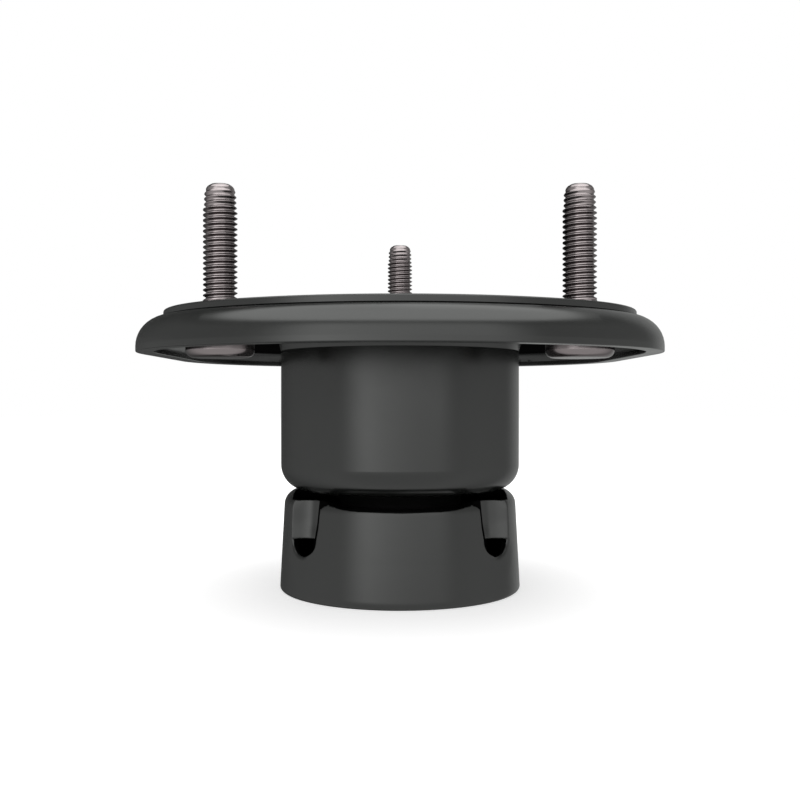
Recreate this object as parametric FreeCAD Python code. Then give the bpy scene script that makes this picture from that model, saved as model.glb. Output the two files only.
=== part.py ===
import FreeCAD, Part
import math
import os

# Strut mount: a pressed plate with a rolled rim carries a drawn housing with a bonded rubber
# bush, three press-in studs and, below the housing, a flared cup with a rubber bump stop.
# Millimetres. Z is up and runs along the damper rod, the front is -Y, and z = 0 is the
# bumper cup's lower edge. The rod's axis is X = Y = 0.

V = FreeCAD.Vector
Z_AXIS = V(0, 0, 1)

# Mounting plate, pressed from one sheet: a circle with a flat on each side
plate_r = 90.6
plate_flat_x = 76.8
plate_blend_r = 59.0
plate_t = 5.1
rim_bend_r = 8.6
rim_h = 10.2
rim_foot_r = 0.3

# Top plate, whose outline is the mounting plate's set in to the start of the rim's bend
top_plate_inset = 7.7
top_plate_t = 1.8
top_plate_edge_r = 0.6
top_plate_hole_r = 30.0

# Isolator housing, a drawn cup whose flange sits in the plate, welded all round beneath it.
# The weld leans out from the housing's wall and then turns out to the plate.
housing_r = 38.4
housing_t = 2.5
housing_h = 52.4
housing_floor_r = 8.0
housing_hole_r = 18.0
flange_w = 3.2
flange_t = 2.0
weld_leg = 3.1
weld_face_h = 2.6
weld_face_out = 0.75
weld_w = 2.1

# Studs, M10 x 1.5, with a serrated neck pressed through both plates
stud_inset = 24.6
stud_front_angle = 50.0
stud_out = 34.9
stud_r = 4.9
stud_neck_r = 5.5
stud_neck_out = 2.4
stud_flare = 0.9
stud_tip_h = 2.6
stud_tip_r = 2.8
head_r = 9.65
head_h = 6.9
head_edge_r = 2.3

# Bonded bush: outer sleeve, rubber, core tube and the washer welded round the tube
bush_sleeve_t = 1.5
bush_sleeve_lift = 6.5
core_bore_r = 7.1
core_t = 5.9
core_lift = 10.2
core_len = 38.0
core_washer_r = 24.0
core_washer_t = 3.0
core_washer_lift = 17.0
rubber_margin_outer = 5.0
rubber_margin_inner = 5.0
rubber_hollow = 7.0

# Bumper cup, flared by its draft, with a rounded shoulder and a turned-in roof
cup_h = 31.8
cup_base_r = 38.7
cup_draft = 3.0
cup_t = 2.4
cup_shoulder_r = 4.8
cup_roof_hole_r = 20.0
cup_foot_r = 1.1
window_half_w = 33.2
window_back = 4.0
window_sill_drop = 2.2
window_dip = 1.5
window_dip_half_w = 12.0
window_dip_r = 31.0

# Channels lanced inwards in the cup's wall, one below each stud, over a drain slot
channel_front_angle = 51.5
channel_r = 6.5
channel_foot_z = 17.9
slot_foot_z = 13.3

# Bump stop, buttoned into the housing's floor
bump_r = 28.0
bump_bore_r = 11.5
bump_foot_z = 8.0
bump_roof_gap = 2.4
bump_edge_r = 5.0
bump_fit = 0.1
bump_groove_r = 2.6
bump_bead_w = 2.0
bump_bead_h = 3.5

# Heights and radii that follow from the sizes above
housing_z = cup_h
plate_z = housing_z + housing_h
top_z = plate_z + top_plate_t
ceiling_z = plate_z - plate_t
stud_circle_r = plate_r - stud_inset
bore_r = housing_r - housing_t
cup_slope = math.tan(math.radians(cup_draft))
sleeve_r = bore_r - bush_sleeve_t
sleeve_z = housing_z + housing_t + bush_sleeve_lift
core_z = housing_z + core_lift
core_r = core_bore_r + core_t
washer_z = core_z + core_washer_lift
sill_z = cup_h - window_sill_drop
bump_top = cup_h - cup_t - bump_roof_gap
bump_h = bump_top - bump_foot_z

# Stud angles about +Z from +X: the front pair straddle -Y and the third is at the back
stud_angles = {
    "stud_left": 270.0 - stud_front_angle,
    "stud_right": 270.0 + stud_front_angle,
    "stud_rear": 90.0,
}


def polar(r, angle, z=0.0):
    a = math.radians(angle)
    return V(r * math.cos(a), r * math.sin(a), z)


def quarter(centre, r, start):
    """Points of a quarter circle in the XZ half-plane, anticlockwise from the start angle."""
    pts = []
    for step in (0.0, 45.0, 90.0):
        a = math.radians(start + step)
        pts.append((centre[0] + r * math.cos(a), 0.0, centre[1] + r * math.sin(a)))
    return pts


def revolve(path):
    """Solid of revolution about Z from a path of (r, z) points, where a triple of points is an arc."""
    edges = []
    pen = None
    first = None
    for item in path:
        pts = [V(*p) for p in item] if isinstance(item, list) else [V(item[0], 0.0, item[1])]
        if first is None:
            first = pts[0]
        elif pen.distanceToPoint(pts[0]) > 1e-6:
            edges.append(Part.makeLine(pen, pts[0]))
        if len(pts) == 3:
            edges.append(Part.Arc(pts[0], pts[1], pts[2]).toShape())
        pen = pts[-1]
    if pen.distanceToPoint(first) > 1e-6:
        edges.append(Part.makeLine(pen, first))
    face = Part.Face(Part.Wire(edges))
    return face.revolve(V(0, 0, 0), Z_AXIS, 360.0)


def disc(r, z, h, centre=V(0, 0, 0)):
    return Part.makeCylinder(r, h, V(centre.x, centre.y, z), Z_AXIS)


def plate_outline(inset, z):
    """The plate's outline set in by a distance: two large arcs, two flats and four blends."""
    r = plate_r - inset
    flat = plate_flat_x - inset
    cx = plate_flat_x - plate_blend_r
    cy = math.sqrt((plate_r - plate_blend_r) ** 2 - cx ** 2)
    join = math.degrees(math.atan2(cy, cx))
    blend = plate_blend_r - inset
    c = V(cx, cy, z)

    def mirror(p, sx, sy):
        return V(p.x * sx, p.y * sy, z)

    tangent = polar(r, join, z)
    middle = c + polar(blend, join / 2.0)
    side = V(flat, cy, z)
    edges = []
    for sy in (1, -1):
        edges.append(Part.Arc(mirror(tangent, 1, sy), V(0, r * sy, z), mirror(tangent, -1, sy)).toShape())
        for sx in (1, -1):
            edges.append(
                Part.Arc(mirror(tangent, sx, sy), mirror(middle, sx, sy), mirror(side, sx, sy)).toShape()
            )
    for sx in (1, -1):
        edges.append(Part.makeLine(mirror(side, sx, 1), mirror(side, sx, -1)))
    return Part.Wire(Part.__sortEdges__(edges))


def plate_block(inset, z, h, top_r):
    """Block with the plate's outline and a rounded top edge."""
    block = Part.Face(plate_outline(inset, z)).extrude(V(0, 0, h))
    rim = [e for e in block.Edges if all(abs(v.Point.z - z - h) < 1e-6 for v in e.Vertexes)]
    return block.makeFillet(top_r, rim)


def save(name, shape):
    shape = shape.removeSplitter()
    solid = shape.Solids[0] if len(shape.Solids) == 1 else shape
    solid.exportStep("parts/%s.step" % name)
    print("%-18s solids %d volume %10.1f valid %s" % (name, len(shape.Solids), shape.Volume, shape.isValid()))


os.makedirs("parts", exist_ok=True)

# Mounting plate: even sheet thickness round the bend, counterbored for the housing's flange
mounting_plate = plate_block(0.0, plate_z - rim_h, rim_h, rim_bend_r)
hollow = plate_block(plate_t, plate_z - rim_h - 1.0, rim_h - plate_t + 1.0, rim_bend_r - plate_t)
mounting_plate = mounting_plate.cut(hollow)
foot = [e for e in mounting_plate.Edges if all(abs(v.Z - plate_z + rim_h) < 1e-6 for v in e.Vertexes)]
mounting_plate = mounting_plate.makeFillet(rim_foot_r, foot)
mounting_plate = mounting_plate.cut(disc(housing_r, ceiling_z - 1.0, plate_t + 2.0))
mounting_plate = mounting_plate.cut(disc(housing_r + flange_w, plate_z - flange_t, flange_t + 1.0))
for angle in stud_angles.values():
    mounting_plate = mounting_plate.cut(disc(stud_neck_r, ceiling_z - 1.0, plate_t + 2.0, polar(stud_circle_r, angle)))
save("mounting_plate", mounting_plate)

top_plate = plate_block(top_plate_inset, plate_z, top_plate_t, top_plate_edge_r)
top_plate = top_plate.cut(disc(top_plate_hole_r, plate_z - 1.0, top_plate_t + 2.0))
for angle in stud_angles.values():
    top_plate = top_plate.cut(disc(stud_neck_r, plate_z - 1.0, top_plate_t + 2.0, polar(stud_circle_r, angle)))
save("top_plate", top_plate)

# Isolator housing, with the weld bead in the corner under the plate
inner_floor_r = housing_floor_r - housing_t
floor_z = housing_z + housing_t
housing = revolve([
    (housing_hole_r, housing_z),
    quarter((housing_r - housing_floor_r, housing_z + housing_floor_r), housing_floor_r, -90.0),
    (housing_r, ceiling_z - weld_leg),
    (housing_r + weld_face_out, ceiling_z - weld_leg + weld_face_h),
    (housing_r + weld_w, ceiling_z),
    (housing_r, ceiling_z),
    (housing_r, plate_z - flange_t),
    (housing_r + flange_w, plate_z - flange_t),
    (housing_r + flange_w, plate_z),
    (bore_r, plate_z),
    quarter((bore_r - inner_floor_r, floor_z + inner_floor_r), inner_floor_r, -90.0)[::-1],
    (housing_hole_r, floor_z),
])
save("isolator_housing", housing)

# Studs: head, neck, flare, shank at the thread's crest and a domed tip
tip_z = top_z + stud_out
neck_z = top_z + stud_neck_out
stud = revolve([
    (0.0, ceiling_z - head_h),
    quarter((head_r - head_edge_r, ceiling_z - head_h + head_edge_r), head_edge_r, -90.0),
    (head_r, ceiling_z),
    (stud_neck_r, ceiling_z),
    (stud_neck_r, neck_z),
    (stud_r, neck_z + stud_flare),
    (stud_r, tip_z - stud_tip_h),
    [(stud_r, 0.0, tip_z - stud_tip_h),
     (stud_tip_r + 0.75 * (stud_r - stud_tip_r), 0.0, tip_z - 0.4 * stud_tip_h),
     (stud_tip_r, 0.0, tip_z)],
    (0.0, tip_z),
])
for name, angle in stud_angles.items():
    placed = stud.copy()
    placed.translate(polar(stud_circle_r, angle))
    save(name, placed)

# Bonded bush
save("isolator_sleeve", disc(bore_r, sleeve_z, plate_z - sleeve_z).cut(disc(sleeve_r, sleeve_z, plate_z - sleeve_z)))
core_tube = disc(core_r, core_z, core_len).cut(disc(core_bore_r, core_z, core_len))
save("core_tube", core_tube)
core_washer = disc(core_washer_r, washer_z, core_washer_t).cut(disc(core_r, washer_z, core_washer_t))
save("core_washer", core_washer)
low_out = sleeve_z + rubber_margin_outer
high_out = plate_z - rubber_margin_outer
low_in = core_z + rubber_margin_inner
high_in = core_z + core_len - rubber_margin_inner
mid_r = (core_r + sleeve_r) / 2.0
rubber = revolve([
    [(core_r, 0.0, low_in), (mid_r, 0.0, (low_in + low_out) / 2.0 + rubber_hollow), (sleeve_r, 0.0, low_out)],
    [(sleeve_r, 0.0, high_out), (mid_r, 0.0, (high_in + high_out) / 2.0 - rubber_hollow), (core_r, 0.0, high_in)],
])
save("rubber_isolator", rubber.cut(disc(core_washer_r, washer_z, core_washer_t)))


# Bumper cup
def cup_wall_r(z):
    return cup_base_r - cup_slope * z


shoulder_z = cup_h - cup_shoulder_r
shoulder_r = cup_wall_r(shoulder_z)
outer = revolve([
    (0.0, 0.0),
    quarter((cup_wall_r(cup_foot_r) - cup_foot_r, cup_foot_r), cup_foot_r, -90.0),
    quarter((shoulder_r - cup_shoulder_r, shoulder_z), cup_shoulder_r, 0.0),
    (0.0, cup_h),
])
inner_shoulder_r = cup_shoulder_r - cup_t
inner = revolve([
    (0.0, -1.0),
    (cup_wall_r(-1.0) - cup_t, -1.0),
    quarter((shoulder_r - cup_shoulder_r, shoulder_z), inner_shoulder_r, 0.0),
    (0.0, cup_h - cup_t),
])

# Each channel is a round let into the skin down to the lip's foot, and the slot goes on below
# it as half an ellipse. The cavity keeps clear of the rounds by the sheet's thickness.
channel_centre_r = cup_wall_r((channel_foot_z + cup_h) / 2.0)
foot_r = cup_wall_r(channel_foot_z)
mouth_reach = (foot_r ** 2 - channel_r ** 2 + channel_centre_r ** 2) / (2.0 * channel_centre_r)
slot_half_w = math.sqrt(foot_r ** 2 - mouth_reach ** 2)
slot_drop = channel_foot_z - slot_foot_z
skin = outer
cavity = inner
slots = []
for angle in (270.0 - channel_front_angle, 270.0 + channel_front_angle, 90.0):
    outward = polar(1.0, angle)
    centre = outward * channel_centre_r
    start = polar(cup_base_r / 2.0, angle, channel_foot_z)
    ellipse = Part.Ellipse(V(0, 0, 0), slot_half_w, slot_drop)
    half = Part.Wire([
        Part.ArcOfEllipse(ellipse, math.pi, 2.0 * math.pi).toShape(),
        Part.makeLine(V(slot_half_w, 0, 0), V(-slot_half_w, 0, 0)),
    ])
    half.rotate(V(0, 0, 0), V(1, 0, 0), 90.0)
    half.rotate(V(0, 0, 0), Z_AXIS, angle - 90.0)
    half.translate(start)
    slot = Part.Face(half).extrude(outward * cup_base_r)
    skin = skin.cut(disc(channel_r, channel_foot_z, cup_h, centre)).cut(slot)
    cavity = cavity.cut(disc(channel_r + cup_t, channel_foot_z, cup_h, centre))
    slots.append(slot)
cup = skin.cut(cavity).cut(disc(cup_roof_hole_r, 0.0, cup_h + 1.0))
for slot in slots:
    cup = cup.cut(slot)

# Window across the cup's front: a level sill with a long shallow dip
dip_run = math.sqrt(2.0 * window_dip_r * window_dip - window_dip ** 2)
dip_end = window_dip_half_w + dip_run
dip_mid = window_dip_half_w + dip_run / 2.0
dip_mid_z = sill_z - window_dip + window_dip_r - math.sqrt(window_dip_r ** 2 - (dip_run / 2.0) ** 2)
front = -2.0 * cup_base_r


def at(x, z):
    return V(x, front, z)


edges = [
    Part.makeLine(at(-window_half_w, 2.0 * cup_h), at(-window_half_w, sill_z)),
    Part.makeLine(at(-window_half_w, sill_z), at(-dip_end, sill_z)),
    Part.Arc(at(-dip_end, sill_z), at(-dip_mid, dip_mid_z), at(-window_dip_half_w, sill_z - window_dip)).toShape(),
    Part.makeLine(at(-window_dip_half_w, sill_z - window_dip), at(window_dip_half_w, sill_z - window_dip)),
    Part.Arc(at(window_dip_half_w, sill_z - window_dip), at(dip_mid, dip_mid_z), at(dip_end, sill_z)).toShape(),
    Part.makeLine(at(dip_end, sill_z), at(window_half_w, sill_z)),
    Part.makeLine(at(window_half_w, sill_z), at(window_half_w, 2.0 * cup_h)),
    Part.makeLine(at(window_half_w, 2.0 * cup_h), at(-window_half_w, 2.0 * cup_h)),
]
window = Part.Face(Part.Wire(edges)).extrude(V(0, -front - window_back, 0))
cup = cup.cut(window)
save("bumper_cup", cup)

# Bump stop: ribbed body, collar against the housing's floor, neck and retaining bead
collar_r = cup_roof_hole_r - bump_fit
neck_r = housing_hole_r - bump_fit
bump = revolve([
    (bump_bore_r, bump_foot_z),
    quarter((bump_r - bump_edge_r, bump_foot_z + bump_edge_r), bump_edge_r, -90.0),
    [(bump_r, 0.0, bump_foot_z + 0.62 * bump_h - bump_groove_r),
     (bump_r - bump_groove_r, 0.0, bump_foot_z + 0.62 * bump_h),
     (bump_r, 0.0, bump_foot_z + 0.62 * bump_h + bump_groove_r)],
    (bump_r, bump_top),
    (collar_r, bump_top),
    (collar_r, housing_z),
    (neck_r, housing_z),
    (neck_r, floor_z),
    (neck_r + bump_bead_w, floor_z),
    (neck_r, floor_z + bump_bead_h),
    (bump_bore_r, floor_z + bump_bead_h),
])
save("bump_stop", bump)
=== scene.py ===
import math

import bmesh
import bpy
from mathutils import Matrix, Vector


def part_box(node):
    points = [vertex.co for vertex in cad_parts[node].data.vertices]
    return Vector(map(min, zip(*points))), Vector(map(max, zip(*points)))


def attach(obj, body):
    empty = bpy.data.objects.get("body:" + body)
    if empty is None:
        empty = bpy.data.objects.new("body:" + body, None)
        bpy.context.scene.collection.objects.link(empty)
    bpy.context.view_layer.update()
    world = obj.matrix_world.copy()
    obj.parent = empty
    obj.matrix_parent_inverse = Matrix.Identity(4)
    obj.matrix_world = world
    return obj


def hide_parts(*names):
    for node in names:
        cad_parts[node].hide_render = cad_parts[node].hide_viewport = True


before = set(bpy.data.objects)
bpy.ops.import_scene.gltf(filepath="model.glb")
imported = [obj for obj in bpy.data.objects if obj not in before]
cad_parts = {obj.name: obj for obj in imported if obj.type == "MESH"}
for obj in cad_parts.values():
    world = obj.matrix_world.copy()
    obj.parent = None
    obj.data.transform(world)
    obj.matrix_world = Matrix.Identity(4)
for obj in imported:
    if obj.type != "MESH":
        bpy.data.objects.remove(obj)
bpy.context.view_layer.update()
scene = bpy.context.scene
scene.view_settings.view_transform = "Standard"

# Camera. It stands level with the middle of the mount, 314 mm in front of the rod's axis,
# so both faces of the plate are nearly edge on and the studs keep upright.
camera_data = bpy.data.cameras.new("studio_camera")
camera_data.sensor_width = 36.0
camera_data.lens = 43.456
camera_data.clip_start = 0.01
camera = bpy.data.objects.new("studio_camera", camera_data)
camera.location = (0.0, -0.3141, 0.0604)
camera.rotation_euler = (math.radians(90.0), 0.0, 0.0)
scene.collection.objects.link(camera)
scene.camera = camera


def linear(hex_colour):
    """An sRGB hex colour as linear RGBA."""
    parts = [int(hex_colour[i:i + 2], 16) / 255.0 for i in (1, 3, 5)]
    return [c / 12.92 if c <= 0.04045 else ((c + 0.055) / 1.055) ** 2.4 for c in parts] + [1.0]


def node(tree, kind, settings=None, inputs=None, links=None):
    """Adds a shader node, sets its properties and sockets, and links outputs into its sockets."""
    made = tree.nodes.new(kind)
    for name, value in (settings or {}).items():
        setattr(made, name, value)
    for name, value in (inputs or {}).items():
        made.inputs[name].default_value = value
    for name, output in (links or {}).items():
        tree.links.new(output, made.inputs[name])
    return made


# Studio surround, white to the camera. Coated steel and metal see it with a tall soft panel
# across the front and a wide one overhead, and with less light behind the mount, which keeps
# the edges of black parts black against the white.
white = (1.0, 1.0, 1.0, 1.0)
smooth = {"interpolation_type": "SMOOTHSTEP"}
multiply, larger = {"operation": "MULTIPLY"}, {"operation": "MAXIMUM"}
world = bpy.data.worlds.new("studio_surround")
scene.world = world
world.use_nodes = True
world.cycles.sampling_method = "NONE"
tree = world.node_tree
tree.nodes.clear()

# A direction as degrees round from the front, to the right positive, and degrees up from level.
facing = node(tree, "ShaderNodeTexCoord")
side = node(tree, "ShaderNodeSeparateXYZ", links={0: facing.outputs["Generated"]})
toward = node(tree, "ShaderNodeMath", multiply, {1: -1.0}, {0: side.outputs["Y"]})
turn = node(tree, "ShaderNodeMath", {"operation": "ARCTAN2"},
            links={0: side.outputs["X"], 1: toward.outputs[0]})
turn = node(tree, "ShaderNodeMath", multiply, {1: math.degrees(1.0)}, {0: turn.outputs[0]})
rise = node(tree, "ShaderNodeMath", {"operation": "ARCSINE"}, links={0: side.outputs["Z"]})
rise = node(tree, "ShaderNodeMath", multiply, {1: math.degrees(1.0)}, {0: rise.outputs[0]})

# Front panel with soft edges. It is brighter towards the left, and most of all low down there.
left = node(tree, "ShaderNodeMapRange", smooth, {"From Min": -58.0, "From Max": -30.0},
            {"Value": turn.outputs[0]})
right = node(tree, "ShaderNodeMapRange", smooth, {"From Min": 55.0, "From Max": 34.0},
             {"Value": turn.outputs[0]})
upper = node(tree, "ShaderNodeMapRange", smooth, {"From Min": 48.0, "From Max": 34.0},
             {"Value": rise.outputs[0]})
lower = node(tree, "ShaderNodeMapRange", inputs={"From Min": -12.0, "From Max": -1.0},
             links={"Value": rise.outputs[0]})
even = node(tree, "ShaderNodeMapRange",
            inputs={"From Min": -2.0, "From Max": 12.0, "To Min": 0.60, "To Max": 1.13},
            links={"Value": rise.outputs[0]})
bright = node(tree, "ShaderNodeMapRange",
              inputs={"From Min": -2.0, "From Max": 12.0, "To Min": 1.28, "To Max": 0.5},
              links={"Value": rise.outputs[0]})
fade = node(tree, "ShaderNodeMapRange", inputs={"From Min": 35.0, "From Max": -28.0},
            links={"Value": turn.outputs[0]})
fade = node(tree, "ShaderNodeMath", {"operation": "POWER"}, {1: 2.0}, {0: fade.outputs[0]})
glare = node(tree, "ShaderNodeMath", {"operation": "MULTIPLY_ADD"},
             links={0: fade.outputs[0], 1: bright.outputs[0], 2: even.outputs[0]})
front = left
for part in (right, upper, lower, glare):
    front = node(tree, "ShaderNodeMath", multiply, links={0: front.outputs[0], 1: part.outputs[0]})

# Overhead panel, laid out on a ceiling one unit up: a soft-edged oval, brighter at the front.
above = node(tree, "ShaderNodeMath", larger, {1: 0.02}, {0: side.outputs["Z"]})
across = node(tree, "ShaderNodeMath", {"operation": "DIVIDE"},
              links={0: side.outputs["X"], 1: above.outputs[0]})
across = node(tree, "ShaderNodeMath", multiply, {1: 1.08}, {0: across.outputs[0]})
along = node(tree, "ShaderNodeMath", {"operation": "DIVIDE"},
             links={0: side.outputs["Y"], 1: above.outputs[0]})
slope = node(tree, "ShaderNodeMapRange",
             inputs={"From Min": -0.8, "From Max": 0.9, "To Min": 3.25, "To Max": 1.15},
             links={"Value": along.outputs[0]})
along = node(tree, "ShaderNodeMath", {"operation": "MULTIPLY_ADD"}, {1: 1.22, 2: 0.03},
             {0: along.outputs[0]})
spot = node(tree, "ShaderNodeCombineXYZ", links={0: across.outputs[0], 1: along.outputs[0]})
reach = node(tree, "ShaderNodeVectorMath", {"operation": "LENGTH"}, links={0: spot.outputs[0]})
disc = node(tree, "ShaderNodeMapRange", smooth, {"From Min": 1.12, "From Max": 0.86},
            {"Value": reach.outputs["Value"]})
top = node(tree, "ShaderNodeMath", multiply, links={0: disc.outputs[0], 1: slope.outputs[0]})

# The room round them: dim behind the mount and round the overhead panel, and a little lighter
# behind to the right.
round_turn = node(tree, "ShaderNodeMath", {"operation": "ABSOLUTE"}, links={0: turn.outputs[0]})
behind = node(tree, "ShaderNodeMapRange", smooth,
              {"From Min": 62.0, "From Max": 155.0, "To Min": 1.0, "To Max": 0.1},
              {"Value": round_turn.outputs[0]})
high = node(tree, "ShaderNodeMapRange",
            inputs={"From Min": 0.0, "From Max": 10.0, "To Min": 1.05, "To Max": 0.72},
            links={"Value": rise.outputs[0]})
ring = node(tree, "ShaderNodeMapRange", smooth,
            {"From Min": 1.15, "From Max": 1.8, "To Min": 0.65, "To Max": 1.0},
            {"Value": reach.outputs["Value"]})
room = behind
for part in (high, ring):
    room = node(tree, "ShaderNodeMath", multiply, links={0: room.outputs[0], 1: part.outputs[0]})
rear_right = node(tree, "ShaderNodeMapRange", smooth,
                  {"From Min": 118.0, "From Max": 142.0, "To Max": 0.3}, {"Value": turn.outputs[0]})
total = front
for part in (top, room, rear_right):
    total = node(tree, "ShaderNodeMath", {"operation": "ADD"},
                 links={0: total.outputs[0], 1: part.outputs[0]})
path = node(tree, "ShaderNodeLightPath")
lit = node(tree, "ShaderNodeBackground", inputs={"Color": white, "Strength": 0.6})
glossy = node(tree, "ShaderNodeBackground", inputs={"Color": (0.985, 1.0, 0.985, 1.0)},
              links={"Strength": total.outputs[0]})
shown = node(tree, "ShaderNodeBackground", inputs={"Color": white, "Strength": 1.0})
direct = node(tree, "ShaderNodeMath", larger,
              links={0: path.outputs["Is Camera Ray"], 1: path.outputs["Is Transmission Ray"]})
mix = node(tree, "ShaderNodeMixShader",
           links={0: path.outputs["Is Glossy Ray"], 1: lit.outputs[0], 2: glossy.outputs[0]})
mix = node(tree, "ShaderNodeMixShader",
           links={0: direct.outputs[0], 1: mix.outputs[0], 2: shown.outputs[0]})
node(tree, "ShaderNodeOutputWorld", links={"Surface": mix.outputs[0]})

# Lamps. Two large soft panels where the surround shows them, which light matt surfaces and
# cast the mount's faint shadow on the floor.
for name, width, height, radiance, place, aim in (
    ("front_panel", 2.4, 1.2, 0.5, (-0.1, -1.4, 0.8), (0.0, 0.0, 0.06)),
    ("top_panel", 1.8, 2.2, 1.2, (0.0, 0.0, 1.3), (0.0, 0.0, 0.08)),
):
    lamp = bpy.data.lights.new(name, "AREA")
    lamp.shape = "RECTANGLE"
    lamp.size = width
    lamp.size_y = height
    lamp.energy = radiance * math.pi * width * height
    panel = bpy.data.objects.new(name, lamp)
    panel.location = place
    panel.rotation_euler = (Vector(aim) - Vector(place)).to_track_quat("-Z", "Y").to_euler()
    panel.visible_glossy = False
    scene.collection.objects.link(panel)

# Floor. White paper, bright enough to run into the surround, which darkens where the mount keeps the light
# off it;
# inside the cup's foot circle its glow is cut to nothing as painted shade. Reflections look past it to the
# surround.
floor_half = 3.0
floor_corners = [(x * floor_half, y * floor_half, 0.0) for x, y in ((-1, -1), (1, -1), (1, 1), (-1, 1))]
floor_mesh = bpy.data.meshes.new("studio_floor")
floor_mesh.from_pydata(floor_corners, [], [(0, 1, 2, 3)])
floor = bpy.data.objects.new("studio_floor", floor_mesh)
floor.visible_glossy = False
scene.collection.objects.link(floor)
paper = bpy.data.materials.new("white_paper")
paper.use_nodes = True
tree = paper.node_tree
tree.nodes.clear()
path = node(tree, "ShaderNodeLightPath")
direct = node(tree, "ShaderNodeMath", larger,
              links={0: path.outputs["Is Camera Ray"], 1: path.outputs["Is Transmission Ray"]})
direct = node(tree, "ShaderNodeMath", larger,
              links={0: direct.outputs[0], 1: path.outputs["Is Glossy Ray"]})
matt = node(tree, "ShaderNodeBsdfDiffuse", inputs={"Color": linear("#e8e8e8")})
place = node(tree, "ShaderNodeTexCoord")
from_axis = node(tree, "ShaderNodeVectorMath", {"operation": "LENGTH"}, links={0: place.outputs["Object"]})
# Painted shade: the floor's glow fades to nothing inside the cup's foot circle.
glow_less_cup_shade = node(tree, "ShaderNodeMapRange",
                inputs={"From Min": 0.035, "From Max": 0.0375, "To Max": 0.55},
                links={"Value": from_axis.outputs["Value"]})
glow = node(tree, "ShaderNodeEmission", inputs={"Color": white}, links={"Strength": glow_less_cup_shade.outputs[0]})
both = node(tree, "ShaderNodeAddShader", links={0: matt.outputs[0], 1: glow.outputs[0]})
mix = node(tree, "ShaderNodeMixShader",
           links={0: direct.outputs[0], 1: matt.outputs[0], 2: both.outputs[0]})
node(tree, "ShaderNodeOutputMaterial", links={"Surface": mix.outputs[0]})
floor_mesh.materials.append(paper)


def finish(name):
    """A new material, its node tree and its shader."""
    made = bpy.data.materials.new(name)
    made.use_nodes = True
    return made, made.node_tree, made.node_tree.nodes["Principled BSDF"]


def dress(name, material):
    """Gives a carried-over CAD node its finish."""
    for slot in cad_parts[name].material_slots:
        slot.material = material


# Pressings: mounting plate, top plate and isolator housing. Deep-drawn steel, dipped in black
# electrocoat and baked. The coat is a thin, even satin film that flows out almost level, with
# a very fine orange peel about 0.7 mm across and slow changes of gloss over some 15 mm.
def coat_film(tree, shader, normal=None):
    """The coat's own fine unevenness, in gloss and in level."""
    place = node(tree, "ShaderNodeTexCoord")
    cloud = node(tree, "ShaderNodeTexNoise", inputs={"Scale": 60.0, "Detail": 3.0},
                 links={"Vector": place.outputs["Object"]})
    gloss = node(tree, "ShaderNodeMapRange",
                 inputs={"From Min": 0.3, "From Max": 0.7, "To Min": 0.19, "To Max": 0.25},
                 links={"Value": cloud.outputs["Fac"]})
    peel = node(tree, "ShaderNodeTexNoise", inputs={"Scale": 1400.0, "Detail": 1.0},
                links={"Vector": place.outputs["Object"]})
    level = node(tree, "ShaderNodeBump", inputs={"Strength": 0.07, "Distance": 0.00002},
                 links={"Height": peel.outputs["Fac"]})
    if normal:
        tree.links.new(normal, level.inputs["Normal"])
    tree.links.new(gloss.outputs[0], shader.inputs["Roughness"])
    tree.links.new(level.outputs[0], shader.inputs["Normal"])


electrocoat, tree, shader = finish("black_electrocoat")
shader.inputs["Base Color"].default_value = linear("#151615")
shader.inputs["IOR"].default_value = 1.5
coat_film(tree, shader)
for name in ("top_plate", "isolator_housing"):
    dress(name, electrocoat)

# The mounting plate's underside and the narrow joint round the top plate get a dead matt near-black coat:
# painted shade under the plate, and a painted shadow line in the joint. The underside faces
# down above z = 77 mm, inside the rim, and the joint is the plate's last 0.6 mm.
plate_coat = electrocoat.copy()
plate_coat.name = "black_electrocoat_painted_shade_plate"
tree = plate_coat.node_tree
shader = tree.nodes["Principled BSDF"]
matt = node(tree, "ShaderNodeBsdfPrincipled",
            inputs={"Base Color": linear("#0a0a0a"), "Roughness": 0.9, "Specular IOR Level": 0.0})
form = node(tree, "ShaderNodeNewGeometry")
split = node(tree, "ShaderNodeSeparateXYZ", links={0: form.outputs["Normal"]})
spot = node(tree, "ShaderNodeSeparateXYZ", links={0: form.outputs["Position"]})
# Painted shade: faces looking down inside the rim, and the plate's last 0.6 mm at the joint as a painted
# shadow line, get the dead matt mix.
under = node(tree, "ShaderNodeMapRange", smooth, {"From Min": -0.75, "From Max": -0.95},
             {"Value": split.outputs["Z"]})
inside = node(tree, "ShaderNodeMapRange", inputs={"From Min": 0.0765, "From Max": 0.078},
              links={"Value": spot.outputs["Z"]})
under = node(tree, "ShaderNodeMath", multiply, links={0: under.outputs[0], 1: inside.outputs[0]})
joint = node(tree, "ShaderNodeMapRange", smooth, {"From Min": 0.08350, "From Max": 0.08375},
             {"Value": spot.outputs["Z"]})
shade_paint_mask = node(tree, "ShaderNodeMath", larger, links={0: under.outputs[0], 1: joint.outputs[0]})
mix = node(tree, "ShaderNodeMixShader",
           links={0: shade_paint_mask.outputs[0], 1: shader.outputs[0], 2: matt.outputs[0]})
tree.links.new(mix.outputs[0], tree.nodes["Material Output"].inputs["Surface"])
dress("mounting_plate", plate_coat)
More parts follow.
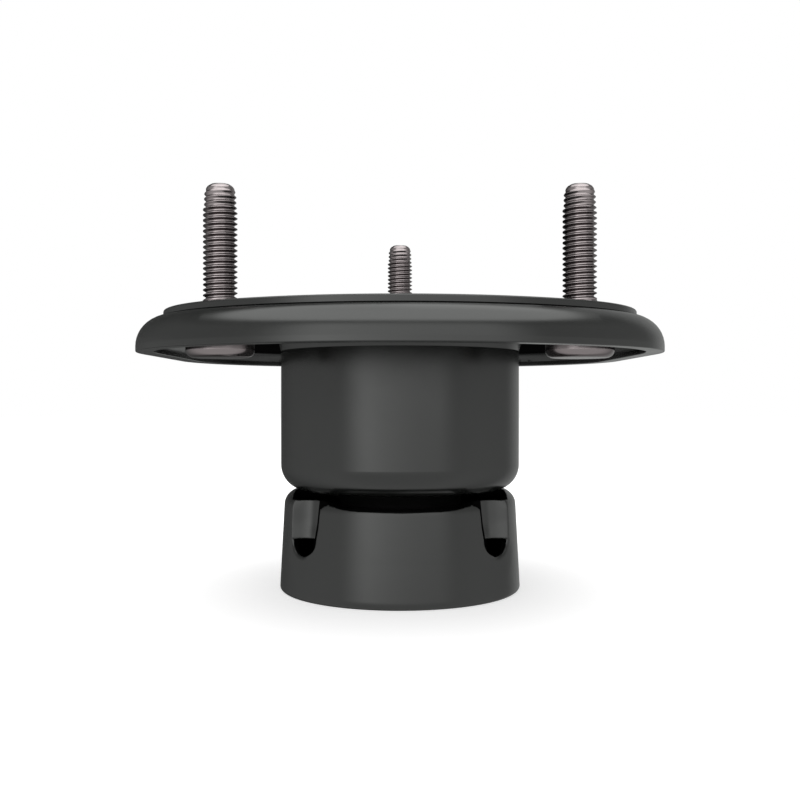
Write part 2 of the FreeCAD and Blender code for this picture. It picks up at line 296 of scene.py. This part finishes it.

# Studs: M10 x 1.5, cold headed, thread rolled and phosphated in grains about 2 mm across.
# The thread flanks, where the surface tilts up or down, take a darker tint as painted shade; roots, crests
# and the domed tip keep the lighter tint. The thread is one helical strip from neck to tip, on a head, neck
# and flare made as one turned shape.
phosphate, tree, shader = finish("phosphated_steel")
shader.inputs["Metallic"].default_value = 1.0
place = node(tree, "ShaderNodeTexCoord")
grain = node(tree, "ShaderNodeTexNoise", inputs={"Scale": 500.0, "Detail": 3.0},
             links={"Vector": place.outputs["Object"]})
spot = node(tree, "ShaderNodeSeparateXYZ", links={0: place.outputs["Object"]})
form = node(tree, "ShaderNodeNewGeometry")
split = node(tree, "ShaderNodeSeparateXYZ", links={0: form.outputs["Normal"]})
# Painted shade: the flanks' darker tint follows how far the normal tilts up or down; the domed tip is kept
# out of it.
lean = node(tree, "ShaderNodeMath", {"operation": "ABSOLUTE"}, links={0: split.outputs["Z"]})
clear_of_flank_shade = node(tree, "ShaderNodeMapRange", smooth, {"From Min": 0.8, "From Max": 0.3},
              {"Value": lean.outputs[0]})
dome = node(tree, "ShaderNodeMapRange", inputs={"From Min": 0.1182, "From Max": 0.1190},
            links={"Value": spot.outputs["Z"]})
clear_of_flank_shade = node(tree, "ShaderNodeMath", larger, links={0: clear_of_flank_shade.outputs[0], 1: dome.outputs[0]})
shank = node(tree, "ShaderNodeMapRange", inputs={"From Min": 0.0790, "From Max": 0.0795},
             links={"Value": spot.outputs["Z"]})
tint = node(tree, "ShaderNodeMix", {"data_type": "RGBA"}, {"A": linear("#857d7e"), "B": linear("#9a9293")},
            {"Factor": grain.outputs["Fac"]})
tint = node(tree, "ShaderNodeMix", {"data_type": "RGBA"}, {"A": linear("#5f5859")},
            {"Factor": clear_of_flank_shade.outputs[0], "B": tint.outputs["Result"]})
tint = node(tree, "ShaderNodeMix", {"data_type": "RGBA"}, {"A": linear("#787172")},
            {"Factor": shank.outputs[0], "B": tint.outputs["Result"]})
gloss = node(tree, "ShaderNodeMapRange", inputs={"To Min": 0.15, "To Max": 0.22},
             links={"Value": grain.outputs["Fac"]})
level = node(tree, "ShaderNodeBump", inputs={"Strength": 0.06, "Distance": 0.00002},
             links={"Height": grain.outputs["Fac"]})
tree.links.new(tint.outputs["Result"], shader.inputs["Base Color"])
tree.links.new(gloss.outputs[0], shader.inputs["Roughness"])
tree.links.new(level.outputs[0], shader.inputs["Normal"])

TURN_STEPS, ROUND_STEPS, EDGE_STEPS = 40, 64, 8
head_r, head_edge_r, head_h = 0.00965, 0.0023, 0.0069
neck_r, shank_r, root_r, tip_r = 0.0052, 0.0049, 0.00397, 0.0027
pitch, first_turn_drop, runout_h = 0.0015, 0.0003, 0.0007
stud_out, neck_out, flare_h = 0.0349, 0.0023, 0.0005
foot_r = shank_r - 0.0001
# Crest radius by depth below the tip, and one thread's form as (part of the pitch, part of its height)
tip_profile = ((0.0, 0.0027), (0.0002, 0.0030), (0.0005, 0.0035), (0.00105, 0.0039), (0.0018, 0.00415),
               (0.0024, 0.00436), (0.0029, 0.00448), (0.0062, 0.0045), (0.0069, 0.0048), (0.05, 0.0048))
thread_form = ((0.0, 0.0), (0.12, -0.05), (0.24, 0.0), (0.54, 0.94), (0.565, 1.0), (0.685, 1.0),
               (0.71, 0.94), (0.99, 0.0))


def crest_limit(depth):
    """The thread's crest radius at a depth below the stud's tip."""
    for (d0, r0), (d1, r1) in zip(tip_profile, tip_profile[1:]):
        if depth <= d1:
            return r0 + (r1 - r0) * max(0.0, depth - d0) / (d1 - d0)
    return tip_profile[-1][1]


def circle(mesh, r, z, steps):
    """A level circle of points, or one point on the axis given that many times."""
    if r == 0.0:
        return [mesh.verts.new((0.0, 0.0, z))] * steps
    return [mesh.verts.new((r * math.cos(k * math.tau / steps), r * math.sin(k * math.tau / steps), z))
            for k in range(steps)]


for name in ("stud_left", "stud_right", "stud_rear"):
    low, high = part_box(name)
    cx, cy = (low[0] + high[0]) / 2.0, (low[1] + high[1]) / 2.0
    tip_z = high[2]
    foot_z = tip_z - stud_out + neck_out
    mesh = bmesh.new()

    turned = [(0.0, low[2])]
    for step in range(EDGE_STEPS + 1):
        a = math.radians(-90.0 + 90.0 * step / EDGE_STEPS)
        turned.append((head_r - head_edge_r + head_edge_r * math.cos(a),
                       low[2] + head_edge_r + head_edge_r * math.sin(a)))
    ceiling_z = low[2] + head_h
    turned += [(head_r, ceiling_z), (neck_r, ceiling_z), (neck_r, foot_z - flare_h),
               (neck_r - 0.0002, foot_z - 0.4 * flare_h), (foot_r, foot_z), (root_r, foot_z + 0.0004)]
    circles = [circle(mesh, r, z, ROUND_STEPS) for r, z in turned]
    for a, b in zip(circles, circles[1:]):
        for k in range(ROUND_STEPS):
            following = (k + 1) % ROUND_STEPS
            mesh.faces.new(list(dict.fromkeys([a[k], a[following], b[following], b[k]])))

    turns = int((tip_z - foot_z) / pitch) + 3
    strip = []
    for i in range(turns * TURN_STEPS + 1):
        a = i * math.tau / TURN_STEPS
        row = []
        for part, height in thread_form:
            z = foot_z - pitch - first_turn_drop + pitch * (i / TURN_STEPS + part)
            z = min(max(z, foot_z), tip_z)
            limit = crest_limit(tip_z - z)
            runout = min(1.0, (z - foot_z) / runout_h)
            floor_r = foot_r - (foot_r - root_r) * runout
            r = min(limit, floor_r + (max(limit, root_r) - floor_r) * height)
            row.append(mesh.verts.new((r * math.cos(a), r * math.sin(a), z)))
        strip.append(row)
    count = len(thread_form)
    for i in range(len(strip) - 1):
        for k in range(count):
            if k + 1 < count:
                top_a, top_b = strip[i][k + 1], strip[i + 1][k + 1]
            elif i + TURN_STEPS + 1 < len(strip):
                top_a, top_b = strip[i + TURN_STEPS][0], strip[i + TURN_STEPS + 1][0]
            else:
                continue
            corners = [strip[i][k], strip[i + 1][k], top_b, top_a]
            if max(v.co.z for v in corners) - min(v.co.z for v in corners) > 1e-6:
                mesh.faces.new(corners)
    mesh.faces.new(circle(mesh, tip_r, tip_z, TURN_STEPS))
    for face in mesh.faces:
        face.smooth = True
    data = bpy.data.meshes.new(name + "_threaded")
    mesh.to_mesh(data)
    mesh.free()
    data.materials.append(phosphate)
    stud = bpy.data.objects.new(name + "_threaded", data)
    stud.location = (cx, cy, 0.0)
    scene.collection.objects.link(stud)
    data.set_sharp_from_angle(angle=math.radians(50.0))
    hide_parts(name)
    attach(stud, "root")

# Bush metal: a turned core tube with its washer, inside a steel sleeve. It is bare steel with
# the fine rings that turning leaves, which spread its highlights. Real ones, 0.1 mm apart, are
# too fine to show, so they are drawn 0.26 mm apart.
turned_steel, tree, shader = finish("turned_steel")
shader.inputs["Base Color"].default_value = linear("#a5a4a2")
shader.inputs["Metallic"].default_value = 1.0
place = node(tree, "ShaderNodeTexCoord")
rings = node(tree, "ShaderNodeTexWave", {"wave_type": "RINGS", "rings_direction": "Z"},
             {"Scale": 1200.0, "Distortion": 0.6, "Detail": 1.0}, {"Vector": place.outputs["Object"]})
gloss = node(tree, "ShaderNodeMapRange", inputs={"To Min": 0.28, "To Max": 0.4},
             links={"Value": rings.outputs["Fac"]})
level = node(tree, "ShaderNodeBump", inputs={"Strength": 0.2, "Distance": 0.00002},
             links={"Height": rings.outputs["Fac"]})
tree.links.new(gloss.outputs[0], shader.inputs["Roughness"])
tree.links.new(level.outputs[0], shader.inputs["Normal"])
for name in ("isolator_sleeve", "core_tube", "core_washer"):
    dress(name, turned_steel)

# Bush rubber, moulded and bonded to the sleeve and the core, and the bump stop. Black rubber
# filled with soot, nearly without gloss, with a faint bloom over some 8 mm and the mould's
# 0.4 mm grain.
rubber, tree, shader = finish("moulded_rubber")
shader.inputs["Specular IOR Level"].default_value = 0.1
place = node(tree, "ShaderNodeTexCoord")
bloom = node(tree, "ShaderNodeTexNoise", inputs={"Scale": 120.0, "Detail": 4.0},
             links={"Vector": place.outputs["Object"]})
tint = node(tree, "ShaderNodeMix", {"data_type": "RGBA"}, {"A": linear("#040404"), "B": linear("#0a0a0a")},
            {"Factor": bloom.outputs["Fac"]})
gloss = node(tree, "ShaderNodeMapRange", inputs={"To Min": 0.65, "To Max": 0.85},
             links={"Value": bloom.outputs["Fac"]})
skin = node(tree, "ShaderNodeTexNoise", inputs={"Scale": 2500.0, "Detail": 2.0},
            links={"Vector": place.outputs["Object"]})
level = node(tree, "ShaderNodeBump", inputs={"Strength": 0.3, "Distance": 0.00004},
             links={"Height": skin.outputs["Fac"]})
tree.links.new(tint.outputs["Result"], shader.inputs["Base Color"])
tree.links.new(gloss.outputs[0], shader.inputs["Roughness"])
tree.links.new(level.outputs[0], shader.inputs["Normal"])
for name in ("rubber_isolator", "bump_stop"):
    dress(name, rubber)

# Bumper cup. The same pressed and coated steel, formed as one sheet with three lanced channels.
# Their mouths are rounded, and crisp where a front channel meets the window, and the wall is a
# little dished round each slot. Inside, on its cut edges and along the front channels' sheared line and
# notch, the coat is dead matt near-black as painted shade.
cup_coat, tree, shader = finish("black_electrocoat_lanced")
shader.inputs["Base Color"].default_value = linear("#151615")
shader.inputs["IOR"].default_value = 1.5
bend = node(tree, "ShaderNodeBevel", {"samples": 8}, {"Radius": 0.0005})
coat_film(tree, shader, bend.outputs[0])
# Painted shade: a dead matt near-black coat, with no gloss, for the cup's inside, its cut edges and the
# front channels' sheared line and notch.
cup_shade_coat, tree, shader = finish("black_electrocoat_painted_shade_cup")
shader.inputs["Base Color"].default_value = linear("#0a0a0a")
shader.inputs["Specular IOR Level"].default_value = 0.0
place = node(tree, "ShaderNodeTexCoord")
cloud = node(tree, "ShaderNodeTexNoise", inputs={"Scale": 60.0, "Detail": 3.0},
             links={"Vector": place.outputs["Object"]})
gloss = node(tree, "ShaderNodeMapRange", inputs={"To Min": 0.8, "To Max": 0.95},
             links={"Value": cloud.outputs["Fac"]})
tree.links.new(gloss.outputs[0], shader.inputs["Roughness"])

cup_h, cup_base_r, cup_slope, sheet_t = 0.0318, 0.0387, math.tan(math.radians(3.0)), 0.0024
shoulder_r, cup_edge_r, roof_hole_r = 0.0048, 0.0011, 0.020
shoulder_z = cup_h - shoulder_r
channel_r, channel_foot_z, slot_foot_z = 0.0065, 0.0179, 0.0133
foot_tuck, foot_tuck_z = 0.0004, 0.023
soft_edge, soft_widen = 0.0005, 0.00035
crisp_edge, crisp_half_w, crisp_foot_widen, crisp_top_widen = 0.0008, 0.0067, 0.00015, 0.0007
soft_swell, soft_shrink, corner_r = 0.0006, 0.0002, 0.0022
shear_foot, shear_turn = -16.5, 6.5
dark_stop = 0.001
lip_r, lip_w = 0.0013, 0.0012
dish, dish_z, dish_inner, dish_outer = 0.0002, 0.0165, 0.0055, 0.0110
dish_low_z, dish_high_z, dish_crisp_w = 0.0145, 0.0178, 0.0035
under_half_w, roof_half_w = 0.0068, 0.0045
# Channels at the back, front left and front right: their angles, which of their sides meets the
# window, and how many columns the wall after each of them has
channel_angles, crisp_sides, wall_columns = (90.0, 218.5, 321.5), (0, 1, -1), (50, 40, 50)
REAR, SOFT, CRISP = 0, 1, 2
FLANK, BEND, MOUTH = 13, 10, 7
HALF = FLANK + MOUTH
SHADE_SLOT = 1
TINY = 1e-6


def cup_wall_r(z):
    """The radius of the cup's flared wall."""
    return cup_base_r - cup_slope * z


def ease(value, low, high):
    """From 0 at low to 1 at high, with a soft start and end."""
    t = min(1.0, max(0.0, (value - low) / (high - low)))
    return t * t * (3.0 - 2.0 * t)


def half_mouth(z, wall_r, edge_r, widen, begin):
    """Half of a channel's section as (across, out) points: bend, straight flank and rounded mouth."""
    centre_r = cup_wall_r(z)
    bend_r = channel_r - foot_tuck * (1.0 - ease(z, channel_foot_z, foot_tuck_z))
    reach = bend_r + edge_r
    touching = math.acos((centre_r ** 2 + reach ** 2 - (wall_r - edge_r) ** 2) / (2.0 * centre_r * reach))
    across = reach * math.sin(touching) + widen
    out = math.sqrt((wall_r - edge_r) ** 2 - across ** 2)
    away = math.hypot(across, centre_r - out)
    turned = math.atan2(across, centre_r - out) - math.acos(min(1.0, reach / away))
    bend = [begin + (turned - begin) * k / BEND for k in range(BEND + 1)]
    points = [(bend_r * math.sin(a), centre_r - bend_r * math.cos(a)) for a in bend]
    (x0, y0), x1, y1 = points[-1], across - edge_r * math.sin(turned), out + edge_r * math.cos(turned)
    for k in range(1, FLANK - BEND + 1):
        points.append((x0 + (x1 - x0) * k / (FLANK - BEND), y0 + (y1 - y0) * k / (FLANK - BEND)))
    start, end = math.pi / 2.0 + turned, math.atan2(out, across)
    for k in range(1, MOUTH + 1):
        a = start + (end - start) * k / MOUTH
        points.append((across + edge_r * math.cos(a), out + edge_r * math.sin(a)))
    return points


def shear_line(z):
    """Where the lancing tool sheared the channel's floor, as an angle round its bend."""
    return math.radians(shear_foot + shear_turn * (z - channel_foot_z) / (shoulder_z - channel_foot_z))


def mouths(z, wall_r, edge_r):
    """The rear channel's half, and a front channel's away from the window and beside it."""
    widen = crisp_foot_widen + crisp_top_widen * (z - channel_foot_z) / (shoulder_z - channel_foot_z)
    if z > shoulder_z:
        widen += corner_r - math.sqrt(max(0.0, corner_r ** 2 - (z - shoulder_z) ** 2))
    return (half_mouth(z, wall_r, edge_r, soft_widen, 0.0),
            half_mouth(z, wall_r, edge_r, soft_widen, -shear_line(z)),
            half_mouth(z, wall_r, crisp_edge, widen, shear_line(z)))


def plain_mouth(wall_r, half_w):
    """As many points along the bare wall, for rows above and below the channels."""
    return [(half_w * k / HALF, math.sqrt(wall_r ** 2 - (half_w * k / HALF) ** 2)) for k in range(HALF + 1)]


def slot_mouth(wall_r, edge):
    """A slot's edge and the wall beside it."""
    across = [edge] * (FLANK + 1) + [edge + lip_w * (k / MOUTH) ** 1.3 for k in range(1, MOUTH + 1)]
    return [(u, math.sqrt(wall_r ** 2 - u ** 2)) for u in across]


slot_half_w = mouths(channel_foot_z, cup_wall_r(channel_foot_z), soft_edge)[REAR][FLANK][0]
slot_drop = channel_foot_z - slot_foot_z

# Rows from the cup's lower edge to the hole in its roof: height, wall radius, the three kinds of
# half mouth, and whether the channel's columns are filled
rows = []
for step in range(5):
    a = math.radians(-90.0 + 22.5 * step)
    r = cup_wall_r(cup_edge_r) - cup_edge_r + cup_edge_r * math.cos(a)
    rows.append((cup_edge_r + cup_edge_r * math.sin(a), r, (plain_mouth(r, under_half_w),) * 3, True))
for z_mm, half_w_mm in ((2.5, 6.8), (4.5, 6.8), (6.2, 6.6), (7.6, 6.2), (8.8, 5.7), (9.8, 5.2), (10.6, 4.7),
                        (11.3, 4.2), (11.9, 3.6), (12.3, 3.1), (12.6, 2.7), (12.8, 2.3), (12.95, 2.0),
                        (13.07, 1.7), (13.17, 1.4), (13.24, 1.1)):
    r = cup_wall_r(z_mm / 1000.0)
    rows.append((z_mm / 1000.0, r, (plain_mouth(r, half_w_mm / 1000.0),) * 3, True))
for step in range(15):
    a = math.radians(90.0 - 90.0 * step / 14.0)
    z = channel_foot_z - slot_drop * math.sin(a)
    r = cup_wall_r(z)
    soft = slot_mouth(r, slot_half_w * math.cos(a))
    rows.append((z, r, (soft, soft, slot_mouth(r, crisp_half_w * math.cos(a))), False))
for z_mm in (17.9, 18.1, 18.4, 18.8, 19.3, 19.9, 20.6, 21.5, 22.6, 24.0, 25.5):
    z = z_mm / 1000.0
    r = cup_wall_r(z)
    rows.append((z, r, mouths(z, r, soft_edge), True))
for step in range(13):
    a = math.radians(7.5 * step)
    z = shoulder_z + shoulder_r * math.sin(a)
    r = cup_wall_r(shoulder_z) - shoulder_r + shoulder_r * math.cos(a)
    edge_r = soft_edge + soft_swell * ease(step, 0.0, 6.0) - soft_shrink * ease(step, 6.0, 12.0)
    rows.append((z, r, mouths(z, r, edge_r), True))
for r in (0.0303, 0.027, 0.0235, roof_hole_r):
    rows.append((cup_h, r, (plain_mouth(r, roof_half_w),) * 3, True))


def pressed_in(across, crisp_side, z, lip_row):
    """How far the wall is pressed in round a slot: a shallow dish, and a rounded lip at its edge."""
    depth = dish * (1.0 - ease(math.hypot(across, z - dish_z), dish_inner, dish_outer))
    depth *= 1.0 - ease(z, dish_low_z, dish_high_z)
    if z < channel_foot_z - TINY or lip_row:
        u, v = across / slot_half_w ** 2, (z - channel_foot_z) / slot_drop ** 2
        q = math.hypot(across / slot_half_w, (z - channel_foot_z) / slot_drop)
        off = max(0.0, (q - 1.0) * q / math.hypot(u, v))
        if off < lip_w:
            depth += lip_r - math.sqrt(lip_r ** 2 - (lip_w - off) ** 2)
    return depth * (1.0 - ease(across * crisp_side, 0.0, dish_crisp_w))


mesh = bmesh.new()
grid = []
for z, wall_r, halves, filled in rows:
    line = []
    for k, (angle, crisp_side) in enumerate(zip(channel_angles, crisp_sides)):
        for j in range(-HALF, HALF + 1):
            half = REAR if k == 0 else CRISP if j * crisp_side > 0 else SOFT
            across, out = halves[half][abs(j)]
            sign = math.copysign(1.0, j) if j else -crisp_side or 1
            line.append((angle, crisp_side, across * sign, out))
        following = channel_angles[(k + 1) % 3] + (360.0 if k == 2 else 0.0)
        across, out = halves[CRISP if k == 1 else SOFT][-1]
        edge_angle = math.degrees(math.atan2(across, out))
        start, end = angle + edge_angle, following - edge_angle
        for j in range(1, wall_columns[k]):
            part = j / wall_columns[k]
            at = start + (end - start) * (0.4 * part + 0.3 * (1.0 - math.cos(math.pi * part)))
            near, near_side = angle, crisp_side
            if at - angle >= following - at:
                near, near_side = following, crisp_sides[(k + 1) % 3]
            turned = math.radians(at - near)
            line.append((near, near_side, wall_r * math.sin(turned), wall_r * math.cos(turned)))
    made = []
    for angle, crisp_side, across, out in line:
        if out > roof_hole_r:
            out -= pressed_in(across, crisp_side, z, not filled)
        a = math.radians(angle)
        made.append(mesh.verts.new((out * math.cos(a) - across * math.sin(a),
                                    out * math.sin(a) + across * math.cos(a), z)))
    grid.append(made)
width = len(grid[0])

# Columns inside each channel, which the slots leave open, and of these in the front channels
# the sheared line and the notch where it runs out at the window, which take the dead matt coat as a painted
# shadow line and painted shade
mouth_columns, shade_line_columns, shade_notch_columns = set(), set(), set()
start = 0
for k, columns in enumerate(wall_columns):
    mouth_columns.update(range(start + MOUTH, start + MOUTH + 2 * FLANK))
    if k:
        sheared = [start + HALF + (j if k == 1 else -1 - j) for j in range(FLANK)]
        shade_line_columns.add(sheared[0])
        shade_notch_columns.update(sheared)
    start += 2 * HALF + columns
for i, (z, _, _, filled) in enumerate(rows[:-1]):
    dark = shade_notch_columns if z > shoulder_z - TINY else shade_line_columns
    for j in range(width):
        if j in mouth_columns and not filled:
            continue
        after = (j + 1) % width
        face = mesh.faces.new((grid[i][j], grid[i][after], grid[i + 1][after], grid[i + 1][j]))
        if j in dark and channel_foot_z - TINY < z < cup_h - dark_stop:
            face.material_index = SHADE_SLOT
bmesh.ops.remove_doubles(mesh, verts=mesh.verts, dist=2e-6)
bmesh.ops.dissolve_degenerate(mesh, edges=mesh.edges, dist=TINY)

# Window in the cup's front: a level sill with a long shallow dip, open back to the rod's line.
window_half_w, window_back_y, sill_h = 0.0332, -0.004, 0.0296
dip_half_w, dip_end, dip_h, dip_r = 0.012, 0.02153, 0.0281, 0.031
sill = [(-window_half_w, sill_h), (-dip_end, sill_h)]
for k in range(1, 5):
    x = dip_end - (dip_end - dip_half_w) * k / 4.0
    sill.append((-x, dip_h + dip_r - math.sqrt(dip_r ** 2 - (x - dip_half_w) ** 2)))
sill += [(-x, z) for x, z in reversed(sill)]


def sill_z(x):
    """The sill's height at a place across the window."""
    for (x0, z0), (x1, z1) in zip(sill, sill[1:]):
        if x <= x1:
            return z0 + (z1 - z0) * (x - x0) / (x1 - x0)
    return sill[-1][1]


cuts_foot_z, cuts_back_y = 0.026, 0.002
cuts = [((0.0, window_back_y, 0.0), (0.0, 1.0, 0.0)), ((-window_half_w, 0.0, 0.0), (1.0, 0.0, 0.0)),
        ((window_half_w, 0.0, 0.0), (1.0, 0.0, 0.0))]
for (x0, z0), (x1, z1) in zip(sill, sill[1:]):
    cuts.append(((x0, 0.0, z0), (z0 - z1, 0.0, x1 - x0)))
    cuts.append(((x1, 0.0, z1), (1.0, 0.0, 0.0)))
for point, normal in cuts:
    parts = set()
    for f in mesh.faces:
        c = f.calc_center_median()
        if c.z > cuts_foot_z and c.y < cuts_back_y:
            parts.update([f, *f.verts, *f.edges])
    bmesh.ops.bisect_plane(mesh, geom=list(parts), dist=TINY, plane_co=point,
                           plane_no=Vector(normal).normalized())
gone = []
for f in mesh.faces:
    c = f.calc_center_median()
    if c.y < window_back_y and abs(c.x) < window_half_w and c.z > sill_z(c.x):
        gone.append(f)
bmesh.ops.delete(mesh, geom=gone, context="FACES")
for f in mesh.faces:
    f.smooth = True
data = bpy.data.meshes.new("bumper_cup_pressed")
mesh.to_mesh(data)
mesh.free()
data.materials.append(cup_coat)
data.materials.append(cup_shade_coat)
cup = bpy.data.objects.new("bumper_cup_pressed", data)
scene.collection.objects.link(cup)
data.set_sharp_from_angle(angle=math.radians(40.0))
sheet = cup.modifiers.new("sheet", "SOLIDIFY")
sheet.thickness = sheet_t
sheet.offset = -1.0
sheet.material_offset = SHADE_SLOT
sheet.material_offset_rim = SHADE_SLOT
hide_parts("bumper_cup")
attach(cup, "root")
